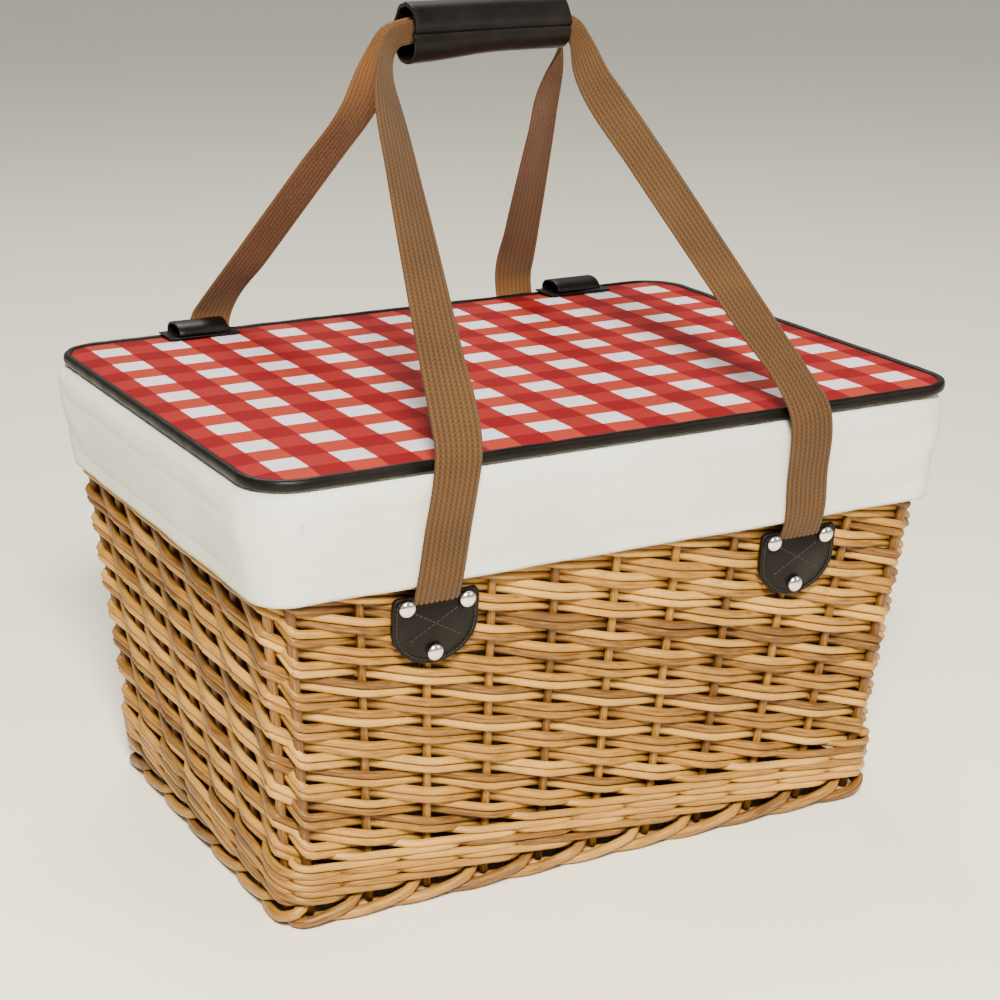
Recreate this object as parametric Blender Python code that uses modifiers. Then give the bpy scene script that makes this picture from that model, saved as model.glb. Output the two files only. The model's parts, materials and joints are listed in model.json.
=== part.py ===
# Wicker picnic basket with a cloth liner, a hinged lid and two webbing handles.
# Metres. +X runs along the long front side, +Y to the back, +Z up, origin on the
# floor under the middle of the basket.

import math

import bmesh
import bpy
from mathutils import Matrix, Vector

# Wicker body: half sizes grow with height.
BASE_HALF_X = 0.1855
BASE_HALF_Y = 0.1315
FLARE_X = 0.086
FLARE_Y = 0.125
WALL_THICK = 0.012
POST_RADIUS = 0.0032
CORNER_CUT = 0.015
GAP = 0.0004
BORDER_WIDTH = 0.011
BASE_THICK = 0.005
BASE_CORNER = 0.014
STICK_RADIUS = 0.0024
STICK_X = 0.11
RIM_RADIUS = 0.0055
RIM_INSET = 0.007

# Heights.
FOOT_TOP = 0.0106
WALE_TOP = 0.038
WEAVE_TOP = 0.236
RIM_HEIGHT = 0.243
CUFF_BOTTOM = 0.196
CUFF_TOP = 0.2566

# Liner. A cuff level is its reach in X and Y, corner radius and height.
BAG_INSET = 0.0142
BAG_THICK = 0.0008
CUFF_THICK = 0.0010
CUFF_LEVELS = (
    (0.2055, 0.1593, 0.024, CUFF_BOTTOM),
    (0.2105, 0.1615, 0.026, 0.214),
    (0.2165, 0.1648, 0.028, 0.240),
    (0.2170, 0.1650, 0.028, 0.251),
    (0.2130, 0.1615, 0.026, CUFF_TOP),
    (0.1950, 0.1500, 0.020, CUFF_TOP),
    (0.1910, 0.1465, 0.018, 0.2535),
    (0.1900, 0.1460, 0.018, 0.2360),
)

# Lid.
LID_HALF_X = 0.218
LID_HALF_Y = 0.164
LID_CORNER = 0.028
LID_BOTTOM = 0.2575
BINDING_HEIGHT = 0.0067
BINDING_WIDTH = 0.0047
HINGE_Y = 0.1666

# Leather hinge straps, by their centres along the lid's back edge.
HINGE_CENTRES = {"left": -0.1240, "right": 0.1425}
HINGE_PATCH_WIDTH = 0.045
HINGE_PATCH_THICK = 0.0012
HINGE_PATCH_Y = (0.1405, 0.1635)
HINGE_LOOP_WIDTH = 0.032
HINGE_LOOP_HALF = 0.0118
HINGE_LOOP_RISE = 0.0070
HINGE_LEATHER = 0.0015

# Handles.
WEB_WIDTH = 0.027
WEB_THICK = 0.0018
SWING_Y = 0.1605
SWING_Z = 0.193
PATCH_X = 0.114
PATCH_TOP = 0.191
PATCH_HALF = 0.025
PATCH_HEIGHT = 0.041
PATCH_THICK = 0.0024
PATCH_SHOULDER = 0.018
RIVET_PLACES = ((-0.0175, -0.006), (0.0175, -0.006), (0.0, -0.034))
RIVET_HEAD = 0.0048
RIVET_SHANK = 0.0014
WASHER_RADIUS = 0.0036
KINK = Vector((0.109, 0.176, 0.271))
GRIP_LEFT = -0.055
GRIP_RIGHT = 0.044
GRIP_BOTTOM = 0.446
GRIP_TOP = 0.472
GRIP_DEPTH = 0.0135
GRIP_WALL = 0.0024
GRIP_CORNER = 0.008
FLAP_THICK = 0.0018
FLAP_EDGE = -0.0105
GRIP_WEB_Y = 0.0045
GRIP_WEB_WIDTH = 0.0160
EARLY_TWIST = 0.42

COLOURS = {
    "wicker": ((0.56, 0.33, 0.14), 0.5, 0.0),
    "liner": ((0.86, 0.86, 0.83), 0.9, 0.0),
    "gingham": ((0.62, 0.08, 0.08), 0.8, 0.0),
    "board": ((0.45, 0.33, 0.22), 0.8, 0.0),
    "leather": ((0.035, 0.024, 0.02), 0.45, 0.0),
    "front_web": ((0.40, 0.23, 0.11), 0.8, 0.0),
    "rear_web": ((0.29, 0.12, 0.06), 0.8, 0.0),
    "nickel": ((0.72, 0.71, 0.68), 0.25, 1.0),
}


def clear_scene():
    for obj in list(bpy.data.objects):
        bpy.data.objects.remove(obj, do_unlink=True)


def make_material(name):
    colour, roughness, metallic = COLOURS[name]
    material = bpy.data.materials.new(name)
    material.use_nodes = True
    shader = material.node_tree.nodes["Principled BSDF"]
    shader.inputs["Base Color"].default_value = (*colour, 1.0)
    shader.inputs["Roughness"].default_value = roughness
    shader.inputs["Metallic"].default_value = metallic
    return material


def make_collection(name):
    collection = bpy.data.collections.new(name)
    bpy.context.scene.collection.children.link(collection)
    return collection


def add_object(name, data, slot, matrix=None):
    obj = bpy.data.objects.new(name, data)
    if slot not in MATERIALS:
        MATERIALS[slot] = make_material(slot)
    obj.data.materials.append(MATERIALS[slot])
    if matrix is not None:
        obj.matrix_world = matrix
    BASKET.objects.link(obj)
    return obj


def half_x(z):
    return BASE_HALF_X + FLARE_X * z


def half_y(z):
    return BASE_HALF_Y + FLARE_Y * z


def rounded_rect(reach_x, reach_y, radius, steps=5):
    """Points of a rounded rectangle, anticlockwise, as (x, y) pairs."""
    points = []
    for quarter, (sx, sy) in enumerate(((1, 1), (-1, 1), (-1, -1), (1, -1))):
        for step in range(steps + 1):
            angle = math.radians(90) * (quarter + step / steps)
            x = sx * (reach_x - radius) + radius * math.cos(angle)
            y = sy * (reach_y - radius) + radius * math.sin(angle)
            points.append((x, y))
    return points


def circle(x, y, radius, steps=12):
    turns = [math.tau * step / steps for step in range(steps)]
    return [(x + radius * math.cos(turn), y + radius * math.sin(turn)) for turn in turns]


def plate(name, outlines, thick, slot, matrix):
    """A flat plate: the first outline is its edge and the others are holes."""
    curve = bpy.data.curves.new(name, "CURVE")
    curve.dimensions = "2D"
    curve.fill_mode = "BOTH"
    curve.extrude = thick / 2
    for outline in outlines:
        spline = curve.splines.new("POLY")
        spline.points.add(len(outline) - 1)
        for point, (x, y) in zip(spline.points, outline):
            point.co = (x, y, 0, 1)
        spline.use_cyclic_u = True
    return add_object(name, curve, slot, matrix)


def level_plate(name, outlines, bottom, thick, slot):
    matrix = Matrix.Translation((0, 0, bottom + thick / 2))
    return plate(name, outlines, thick, slot, matrix)


def rod(name, points, radius, slot, cyclic=False):
    curve = bpy.data.curves.new(name, "CURVE")
    curve.dimensions = "3D"
    curve.bevel_depth = radius
    curve.bevel_resolution = 2
    curve.use_fill_caps = True
    spline = curve.splines.new("POLY")
    spline.points.add(len(points) - 1)
    for point, place in zip(spline.points, points):
        point.co = (*place, 1)
    spline.use_cyclic_u = cyclic
    return add_object(name, curve, slot)


def loop_shell(name, levels, thick, slot, closed_bottom=False):
    """An open surface through rounded rectangles, one for each level, made thick inwards.

    A level is (reach_x, reach_y, corner radius, z).
    """
    shape = bmesh.new()
    rings = []
    for reach_x, reach_y, radius, z in levels:
        outline = rounded_rect(reach_x, reach_y, radius)
        rings.append([shape.verts.new((x, y, z)) for x, y in outline])
    for lower, upper in zip(rings, rings[1:]):
        count = len(lower)
        for i in range(count):
            j = (i + 1) % count
            shape.faces.new((lower[i], lower[j], upper[j], upper[i]))
    if closed_bottom:
        shape.faces.new(list(reversed(rings[0])))
    mesh = bpy.data.meshes.new(name)
    shape.to_mesh(mesh)
    shape.free()
    obj = add_object(name, mesh, slot)
    thickness = obj.modifiers.new("Thickness", "SOLIDIFY")
    thickness.thickness = thick
    thickness.offset = -1
    thickness.use_even_offset = True
    return obj


def wall_frame(side):
    """Matrix of a sloping wall: X along the wall, Y up it, Z out of it, origin at its base."""
    sign = 1 if side in ("right", "back") else -1
    if side in ("front", "back"):
        tilt = math.atan(FLARE_Y)
        along = Vector((-sign, 0, 0))
        up = Vector((0, sign * math.sin(tilt), math.cos(tilt)))
        base = Vector((0, sign * BASE_HALF_Y, 0))
    else:
        tilt = math.atan(FLARE_X)
        along = Vector((0, sign, 0))
        up = Vector((sign * math.sin(tilt), 0, math.cos(tilt)))
        base = Vector((sign * BASE_HALF_X, 0, 0))
    out = along.cross(up)
    matrix = Matrix((along, up, out)).transposed().to_4x4()
    matrix.translation = base
    return matrix, 1 / math.cos(tilt)


def add_base():
    outer = rounded_rect(BASE_HALF_X, BASE_HALF_Y, BASE_CORNER)
    inner = rounded_rect(BASE_HALF_X - BORDER_WIDTH, BASE_HALF_Y - BORDER_WIDTH, 0.008)
    level_plate("foot_border", (outer, inner), 0, FOOT_TOP, "wicker")
    mat_x = half_x(FOOT_TOP) - WALL_THICK - 0.0035
    mat_y = half_y(FOOT_TOP) - WALL_THICK - 0.0035
    mat = rounded_rect(mat_x, mat_y, 0.012)
    level_plate("base_mat", (mat,), FOOT_TOP + GAP, BASE_THICK, "wicker")
    stick_z = FOOT_TOP - STICK_RADIUS
    reach = BASE_HALF_Y - BORDER_WIDTH - 0.001
    for name, x in (("left", -STICK_X), ("middle", 0.0), ("right", STICK_X)):
        ends = ((x, -reach, stick_z), (x, reach, stick_z))
        rod("base_stick_" + name, ends, STICK_RADIUS, "wicker")


def add_wale():
    low = FOOT_TOP + GAP
    levels = []
    for z in (low, WALE_TOP):
        levels.append((half_x(z) + 0.001, half_y(z) + 0.001, BASE_CORNER, z))
    loop_shell("bottom_wale", levels, WALL_THICK + 0.001, "wicker")


def patch_outline():
    """A flat top with small round corners and a deep rounded bottom."""
    points = [(PATCH_HALF, -0.002), (PATCH_HALF - 0.002, 0.0)]
    points += [(0.010, -0.0012), (-0.010, -0.0012)]
    points += [(0.002 - PATCH_HALF, 0.0), (-PATCH_HALF, -0.002)]
    depth = PATCH_HEIGHT - PATCH_SHOULDER
    for step in range(11):
        angle = math.pi * (1 + step / 10)
        x = PATCH_HALF * math.cos(angle)
        y = -PATCH_SHOULDER + depth * math.sin(angle)
        points.append((x, y))
    return list(reversed(points))


def add_weave():
    low = WALE_TOP + GAP
    for side in ("front", "back", "left", "right"):
        matrix, stretch = wall_frame(side)
        flat_half = half_x if side in ("front", "back") else half_y
        inset = CORNER_CUT + POST_RADIUS + GAP
        outline = [
            (flat_half(low) - inset, low * stretch),
            (flat_half(WEAVE_TOP) - inset, WEAVE_TOP * stretch),
            (inset - flat_half(WEAVE_TOP), WEAVE_TOP * stretch),
            (inset - flat_half(low), low * stretch),
        ]
        outlines = [list(reversed(outline))]
        if side in ("front", "back"):
            for x in (-PATCH_X, PATCH_X):
                for dx, dy in RIVET_PLACES:
                    hole = circle(x + dx, PATCH_TOP * stretch + dy, RIVET_SHANK + GAP)
                    outlines.append(hole)
        centre = matrix @ Matrix.Translation((0, 0, -WALL_THICK / 2))
        plate("weave_" + side, outlines, WALL_THICK, "wicker", centre)


def corner_point(sx, sy, z, in_x, in_y):
    return Vector((sx * (half_x(z) - in_x), sy * (half_y(z) - in_y), z))


def add_corners():
    low = WALE_TOP + 0.0025
    deep = WALL_THICK / 2
    names = (("front_left", -1, -1), ("front_right", 1, -1), ("back_left", -1, 1), ("back_right", 1, 1))
    for name, sx, sy in names:
        face_post = [corner_point(sx, sy, z, CORNER_CUT, deep) for z in (low, WEAVE_TOP)]
        side_post = [corner_point(sx, sy, z, deep, CORNER_CUT) for z in (low, WEAVE_TOP)]
        face = name.split("_")[0]
        rod("post_%s_%s" % (name, face), face_post, POST_RADIUS, "wicker")
        rod("post_%s_side" % name, side_post, POST_RADIUS, "wicker")
        middle = (face_post[0] + side_post[0]) / 2
        up = (face_post[1] - face_post[0]).normalized()
        across = (side_post[0] - face_post[0]).normalized()
        across = (across - across.dot(up) * up).normalized()
        out = across.cross(up)
        matrix = Matrix((across, up, out)).transposed().to_4x4()
        matrix.translation = middle
        length = (face_post[1] - face_post[0]).length
        reach = ((side_post[0] - face_post[0]).length / 2) - POST_RADIUS - 2 * GAP
        trim = 0.0015
        outline = [(-reach, trim), (reach, trim), (reach, length - trim), (-reach, length - trim)]
        plate("corner_weave_" + name, (outline,), 0.008, "wicker", matrix)


def add_rim():
    reach_x = half_x(RIM_HEIGHT) - RIM_INSET
    reach_y = half_y(RIM_HEIGHT) - RIM_INSET
    outline = rounded_rect(reach_x, reach_y, 0.018, 4)
    points = [(x, y, RIM_HEIGHT) for x, y in outline]
    rod("rim_border", points, RIM_RADIUS, "wicker", cyclic=True)


def add_liner():
    low = FOOT_TOP + 0.0065
    bag = []
    for z in (low, WALE_TOP, WEAVE_TOP - 0.002):
        bag.append((half_x(z) - BAG_INSET, half_y(z) - BAG_INSET, 0.02, z))
    loop_shell("liner_bag", bag, BAG_THICK, "liner", closed_bottom=True)
    loop_shell("liner_cuff", CUFF_LEVELS, CUFF_THICK, "liner")


def add_turned(name, profile, slot, matrix):
    """A turned piece. The profile is (radius, height) pairs that run from top to bottom."""
    shape = bmesh.new()
    points = [shape.verts.new((radius, 0, height)) for radius, height in profile]
    for start, end in zip(points, points[1:]):
        shape.edges.new((start, end))
    mesh = bpy.data.meshes.new(name)
    shape.to_mesh(mesh)
    shape.free()
    obj = add_object(name, mesh, slot, matrix)
    screw = obj.modifiers.new("Turn", "SCREW")
    screw.steps = 12
    screw.render_steps = 12
    screw.use_merge_vertices = True
    screw.merge_threshold = 0.00001
    return obj


def rivet_profile():
    """From the dome's top, down the shank, round the washer inside the wall."""
    seat = PATCH_THICK + 2 * GAP
    inside = -WALL_THICK - GAP
    return (
        (0.0, seat + 0.0026),
        (RIVET_HEAD * 0.5, seat + 0.0023),
        (RIVET_HEAD * 0.87, seat + 0.0013),
        (RIVET_HEAD, seat + 0.0003),
        (RIVET_HEAD * 0.97, seat),
        (RIVET_SHANK, seat),
        (RIVET_SHANK, inside),
        (WASHER_RADIUS, inside),
        (WASHER_RADIUS, inside - 0.0007),
        (0.0, inside - 0.0007),
    )


def add_patches():
    for side in ("front", "back"):
        matrix, stretch = wall_frame(side)
        for end, x in (("left", -PATCH_X), ("right", PATCH_X)):
            name = side + "_" + end
            local_x = x if side == "front" else -x
            place = matrix @ Matrix.Translation((local_x, PATCH_TOP * stretch, 0))
            holes = [circle(dx, dy, RIVET_SHANK + GAP) for dx, dy in RIVET_PLACES]
            lift = Matrix.Translation((0, 0, PATCH_THICK / 2 + GAP))
            plate("strap_patch_" + name, [patch_outline()] + holes, PATCH_THICK, "leather", place @ lift)
            for label, (dx, dy) in zip(("outer", "inner", "bottom"), RIVET_PLACES):
                spot = place @ Matrix.Translation((dx, dy, 0))
                add_turned("rivet_%s_%s" % (name, label), rivet_profile(), "nickel", spot)


def add_lid():
    inner_x = LID_HALF_X - BINDING_WIDTH
    inner_y = LID_HALF_Y - BINDING_WIDTH
    inner_corner = LID_CORNER - BINDING_WIDTH
    outer = rounded_rect(LID_HALF_X, LID_HALF_Y, LID_CORNER)
    inner = rounded_rect(inner_x, inner_y, inner_corner)
    level_plate("lid_binding", (outer, inner), LID_BOTTOM, BINDING_HEIGHT, "leather")
    sheet = rounded_rect(inner_x - GAP, inner_y - GAP, inner_corner - GAP)
    level_plate("lid_lining", (sheet,), LID_BOTTOM, 0.0008, "liner")
    level_plate("lid_board", (sheet,), LID_BOTTOM + 0.0011, 0.0038, "board")
    level_plate("lid_cover", (sheet,), LID_BOTTOM + 0.0052, 0.0013, "gingham")


def arc_points(centre_y, centre_z, radius, start, end, steps, rise=None):
    """Points along an arc, or along part of an ellipse if its rise is given too."""
    angles = [math.radians(start + (end - start) * i / steps) for i in range(steps + 1)]
    rise = rise or radius
    return [(centre_y + radius * math.cos(a), centre_z + rise * math.sin(a)) for a in angles]


def add_hinges():
    patch_bottom = LID_BOTTOM + BINDING_HEIGHT + GAP
    along_x = Matrix(((0, 0, 1, 0), (1, 0, 0, 0), (0, 1, 0, 0), (0, 0, 0, 1)))
    for end, x in HINGE_CENTRES.items():
        half = HINGE_PATCH_WIDTH / 2
        near, far = HINGE_PATCH_Y
        patch = [(x - half, near), (x + half, near), (x + half, far), (x - half, far)]
        level_plate("hinge_patch_" + end, (patch,), patch_bottom, HINGE_PATCH_THICK, "leather")
        foot = patch_bottom + HINGE_PATCH_THICK + GAP
        wall = HINGE_LEATHER
        radius = HINGE_LOOP_HALF
        centre_y = HINGE_Y - 0.0006 - radius
        outside = arc_points(centre_y, foot, radius, 0, 180, 10, HINGE_LOOP_RISE)
        inside = arc_points(centre_y, foot, radius - wall, 180, 0, 10, HINGE_LOOP_RISE - wall)
        tail = LID_BOTTOM + 0.0002
        outline = outside + inside
        outline += [(centre_y + radius - wall, tail), (centre_y + radius, tail)]
        middle = Matrix.Translation((x, 0, 0)) @ along_x
        plate("hinge_loop_" + end, (outline,), HINGE_LOOP_WIDTH, "leather", middle)
        tab = [(0.1668, 0.2569), (0.1654, 0.2569), (0.1653, 0.2350), (0.1666, 0.2350)]
        plate("hinge_tab_" + end, (tab,), HINGE_LOOP_WIDTH, "leather", middle)


def bezier(start, start_pull, end_pull, end, steps):
    points = []
    for step in range(1, steps + 1):
        t = step / steps
        s = 1 - t
        points.append(s**3 * start + 3 * s * s * t * start_pull + 3 * s * t * t * end_pull + t**3 * end)
    return points


def strap_sections(grip_x):
    """(centre, width direction, width) along the left front strap, from its patch to the grip's end."""
    foot = Vector((-PATCH_X, -SWING_Y, SWING_Z - 0.0008))
    kink = Vector((-KINK.x, -KINK.y, KINK.z))
    grip = Vector((grip_x, -GRIP_WEB_Y, (GRIP_BOTTOM + GRIP_TOP) / 2))
    rising = (kink - foot).normalized()
    bend = 0.011
    target = grip + Vector((-0.003, -0.003, -0.004))
    leaning = (target - kink).normalized()
    reach = (target - kink).length
    before = kink - bend * rising
    after = kink + bend * leaning
    turn_start = kink + (reach - 0.034) * leaning
    centres = [foot, foot.lerp(before, 0.5), before]
    centres += bezier(before, before.lerp(kink, 0.55), after.lerp(kink, 0.55), after, 4)
    shares = [0.0] * len(centres)
    for part in (0.25, 0.5, 0.75, 1.0):
        centres.append(after.lerp(turn_start, part))
        shares.append(EARLY_TWIST * part)
    twist_from = len(centres) - 1
    pull = turn_start + 0.018 * leaning
    centres += bezier(turn_start, pull, grip + Vector((-0.014, 0, 0)), grip, 9)
    twist_count = len(centres) - 1 - twist_from
    for step in range(1, twist_count + 1):
        part = step / twist_count
        shares.append(EARLY_TWIST + (1 - EARLY_TWIST) * part * part * (3 - 2 * part))
    sections = []
    for i, centre in enumerate(centres):
        ahead = centres[min(i + 1, len(centres) - 1)]
        behind = centres[max(i - 1, 0)]
        along = (ahead - behind).normalized()
        flat = Vector((1, 0, 0))
        flat = (flat - flat.dot(along) * along).normalized()
        narrowing = max(0, i - twist_from) / twist_count
        upright = Vector((0, 0, -1))
        upright = (upright - upright.dot(along) * along).normalized()
        across = flat.lerp(upright, shares[i]).normalized()
        width = WEB_WIDTH + (GRIP_WEB_WIDTH - WEB_WIDTH) * min(1, 1.3 * narrowing)
        sections.append((centre, across, width))
    return sections


def mirrored(section, along_x, along_y):
    """The section on the other side of the basket. The width direction follows the ribbon round."""
    centre, across, width = section
    place = Vector((centre.x * along_x, centre.y * along_y, centre.z))
    turned = Vector((across.x * along_x, across.y * along_y, across.z))
    return place, turned, width


def add_webbing(name, slot, face):
    left = [mirrored(section, 1, face) for section in strap_sections(GRIP_LEFT)]
    right = [mirrored(section, -1, face) for section in reversed(strap_sections(-GRIP_RIGHT))]
    shape = bmesh.new()
    edges = []
    for centre, across, width in left + right:
        start = shape.verts.new(centre - across * width / 2)
        end = shape.verts.new(centre + across * width / 2)
        edges.append((start, end))
    for (a, b), (c, d) in zip(edges, edges[1:]):
        shape.faces.new((a, b, d, c))
    mesh = bpy.data.meshes.new(name)
    shape.to_mesh(mesh)
    shape.free()
    obj = add_object(name, mesh, slot)
    thickness = obj.modifiers.new("Thickness", "SOLIDIFY")
    thickness.thickness = WEB_THICK
    thickness.offset = 0
    return obj


def add_grip():
    """Two halves of a leather wrap, each open towards the other. The rear one has the top flap."""
    length = GRIP_RIGHT - GRIP_LEFT
    along_x = Matrix(((0, 0, 1, 0), (1, 0, 0, 0), (0, 1, 0, 0), (0, 0, 0, 1)))
    middle = Matrix.Translation(((GRIP_LEFT + GRIP_RIGHT) / 2, 0, 0)) @ along_x
    split = 0.0002
    low = GRIP_BOTTOM + GRIP_CORNER
    high = GRIP_TOP - GRIP_CORNER
    edge = GRIP_DEPTH - GRIP_CORNER
    outside = [(split, GRIP_BOTTOM)]
    outside += arc_points(edge, low, GRIP_CORNER, -90, 0, 5)
    outside += arc_points(edge, high, GRIP_CORNER, 0, 90, 5)
    outside.append((split, GRIP_TOP))
    inner = GRIP_CORNER - GRIP_WALL
    inside = [(split, GRIP_TOP - GRIP_WALL)]
    inside += arc_points(edge, high, inner, 90, 0, 5)
    inside += arc_points(edge, low, inner, 0, -90, 5)
    inside.append((split, GRIP_BOTTOM + GRIP_WALL))
    rear = outside[:-1]
    flap_low = GRIP_TOP + GAP
    rear[-1] = (edge, GRIP_TOP)
    rear += [(edge, flap_low + FLAP_THICK), (FLAP_EDGE, flap_low + FLAP_THICK), (FLAP_EDGE, flap_low)]
    rear += [(split, flap_low), (split, GRIP_TOP - 0.0005)]
    front = [(-y, z) for y, z in outside + inside]
    plate("grip_front", (list(reversed(front)),), length, "leather", middle)
    plate("grip_rear", (rear + inside,), length, "leather", middle)


def hang_on_joint(names, name, place):
    """Parents moving pieces to an empty on their joint's axis."""
    pivot = bpy.data.objects.new(name, None)
    pivot.location = place
    BASKET.objects.link(pivot)
    bpy.context.view_layer.update()
    for child in names:
        obj = bpy.data.objects[child]
        obj.parent = pivot
        obj.matrix_parent_inverse = pivot.matrix_world.inverted()


clear_scene()
MATERIALS = {}
BASKET = make_collection("picnic_basket")

add_base()
add_wale()
add_weave()
add_corners()
add_rim()
add_liner()
add_patches()
add_lid()
add_hinges()
add_webbing("front_webbing", "front_web", 1)
add_webbing("rear_webbing", "rear_web", -1)
add_grip()

LID_NODES = ["lid_binding", "lid_lining", "lid_board", "lid_cover"]
LID_NODES += ["hinge_patch_left", "hinge_patch_right", "hinge_loop_left", "hinge_loop_right"]
hang_on_joint(LID_NODES, "lid_axis", (0, HINGE_Y, LID_BOTTOM))
hang_on_joint(["front_webbing", "grip_front"], "front_handle_axis", (0, -SWING_Y, SWING_Z))
hang_on_joint(["rear_webbing", "grip_rear"], "rear_handle_axis", (0, SWING_Y, SWING_Z))
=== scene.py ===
import json
import math
import random

import bmesh
import bpy
import numpy as np
from mathutils import Matrix, Vector, noise


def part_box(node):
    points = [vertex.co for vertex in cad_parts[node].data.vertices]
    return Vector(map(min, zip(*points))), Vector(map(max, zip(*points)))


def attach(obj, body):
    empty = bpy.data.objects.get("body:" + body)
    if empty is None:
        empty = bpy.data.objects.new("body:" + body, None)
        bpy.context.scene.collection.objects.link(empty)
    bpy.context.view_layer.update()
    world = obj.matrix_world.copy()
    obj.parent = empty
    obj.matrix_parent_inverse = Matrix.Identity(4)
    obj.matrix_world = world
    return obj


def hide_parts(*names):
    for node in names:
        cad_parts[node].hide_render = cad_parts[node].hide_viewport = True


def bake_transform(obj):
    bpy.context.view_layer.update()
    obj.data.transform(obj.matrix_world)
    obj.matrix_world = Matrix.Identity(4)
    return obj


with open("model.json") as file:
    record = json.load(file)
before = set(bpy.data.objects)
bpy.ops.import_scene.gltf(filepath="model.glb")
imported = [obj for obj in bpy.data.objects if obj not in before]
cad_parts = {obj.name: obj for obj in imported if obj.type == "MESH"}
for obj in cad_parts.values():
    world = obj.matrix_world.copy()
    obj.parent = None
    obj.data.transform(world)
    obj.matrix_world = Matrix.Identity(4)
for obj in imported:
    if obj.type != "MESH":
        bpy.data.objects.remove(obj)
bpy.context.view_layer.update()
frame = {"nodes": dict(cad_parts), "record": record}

dice = random.Random(11)


def say(text):
    print("basket:", text)


def clearSelection():
    if bpy.context.object and bpy.context.object.mode != "OBJECT":
        bpy.ops.object.mode_set(mode="OBJECT")
    bpy.ops.object.select_all(action="DESELECT")


def pickOnly(piece):
    clearSelection()
    piece.select_set(True)
    bpy.context.view_layer.objects.active = piece


def applyAll(piece):
    pickOnly(piece)
    for modifier in list(piece.modifiers):
        bpy.ops.object.modifier_apply(modifier=modifier.name)


def giveThickness(piece, thickness, offset=-1):
    wall = piece.modifiers.new("thickness", "SOLIDIFY")
    wall.thickness = thickness
    wall.offset = offset


def softenEdges(piece, width, segments, sharperThan=30):
    rounding = piece.modifiers.new("softEdges", "BEVEL")
    rounding.width = width
    rounding.segments = segments
    rounding.limit_method = "ANGLE"
    rounding.angle_limit = math.radians(sharperThan)


def startEditing():
    bpy.ops.object.mode_set(mode="EDIT")
    bpy.ops.mesh.select_all(action="SELECT")


def turnOutAndStop():
    bpy.ops.mesh.normals_make_consistent(inside=False)
    bpy.ops.object.mode_set(mode="OBJECT")


def mergeAndTurnOut(piece):
    pickOnly(piece)
    startEditing()
    bpy.ops.mesh.remove_doubles(threshold=0.00001)
    turnOutAndStop()


def finishPiece(piece, name, finish, body, stands=(), smooth=True):
    piece.name = name
    piece.data.name = name
    piece.data.materials.clear()
    piece.data.materials.append(finish)
    if smooth:
        piece.data.shade_smooth()
    if body:
        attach(piece, body)
    if stands:
        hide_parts(*stands)
    return piece


def dressNode(node, finish):
    frame["nodes"][node].data.materials.clear()
    frame["nodes"][node].data.materials.append(finish)


def boxMiddle(low, high):
    return [(a + b) / 2 for a, b in zip(low, high)]


def readPoints(piece):
    flat = np.empty(len(piece.data.vertices) * 3)
    piece.data.vertices.foreach_get("co", flat)
    return flat.reshape(-1, 3)


def writePoints(piece, x, y, z):
    piece.data.vertices.foreach_set("co", np.stack([x, y, z + 0 * x], 1).ravel())
    piece.data.update()


def lengthsAlong(points):
    # how far along a row of points each one is
    return np.r_[0, np.cumsum(np.linalg.norm(np.diff(points, axis=0), axis=1))]


def smoothstep(low, high, value):
    t = np.clip((value - low) / (high - low), 0, 1)
    return t * t * (3 - 2 * t)


def ripple(points, scale, seed=0.0):
    # smooth noise, about -1 to 1, one value for each point
    shift = Vector((seed, 2.3 * seed, -1.7 * seed))
    return np.array([noise.noise(Vector(p) * scale + shift) for p in points])


def loopSpans(reachX, reachY, radius):
    arc = math.pi / 2 * radius
    spans = [2 * (reachX - radius), 2 * (reachY - radius)] * 2
    return arc, spans, sum(spans) + 4 * arc


def loopPoint(share, reachX, reachY, radius):
    # a place on a rounded rectangle, by its share of the way round from the front's left end
    share, reachX, reachY, radius = np.broadcast_arrays(share, reachX, reachY, radius)
    way = np.mod(share, 1.0) * loopSpans(reachX, reachY, radius)[2]
    return walkLoop(way, reachX, reachY, radius)


def walkLoop(way, reachX, reachY, radius):
    arc, spans, total = loopSpans(reachX, reachY, radius)
    way = np.mod(way, total)
    x = -(reachX - radius)
    y = -reachY + 0 * way
    heading = 0 * way
    start = 0 * way
    for turn, span in enumerate(spans):
        angle = turn * math.pi / 2
        run = np.clip(way - start, 0, span)
        x = x + run * math.cos(angle)
        y = y + run * math.sin(angle)
        start = start + span
        bend = np.clip(way - start, 0, arc) / radius
        x = x + radius * (np.sin(angle + bend) - math.sin(angle))
        y = y - radius * (np.cos(angle + bend) - math.cos(angle))
        heading = heading + bend
        start = start + arc
    return x, y, np.sin(heading), -np.cos(heading)


def gridPiece(cols, rows, place, closeAlong=False, closeAcross=False):
    # a grid primitive whose points go where place(u, v) says, with u and v from 0 to 1
    clearSelection()
    bpy.ops.mesh.primitive_grid_add(x_subdivisions=cols, y_subdivisions=rows, size=1)
    piece = bpy.context.object
    flat = readPoints(piece)
    writePoints(piece, *place(flat[:, 0] + 0.5, flat[:, 1] + 0.5))
    if closeAlong or closeAcross:
        mergeAndTurnOut(piece)
    return piece


def scaleUvs(piece, across, up):
    # uv values in metres, so that a weave keeps its size
    layer = piece.data.uv_layers.active.data
    values = np.empty(len(layer) * 2)
    layer.foreach_get("uv", values)
    values = values.reshape(-1, 2) * (across, up)
    layer.foreach_set("uv", values.ravel())


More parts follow.
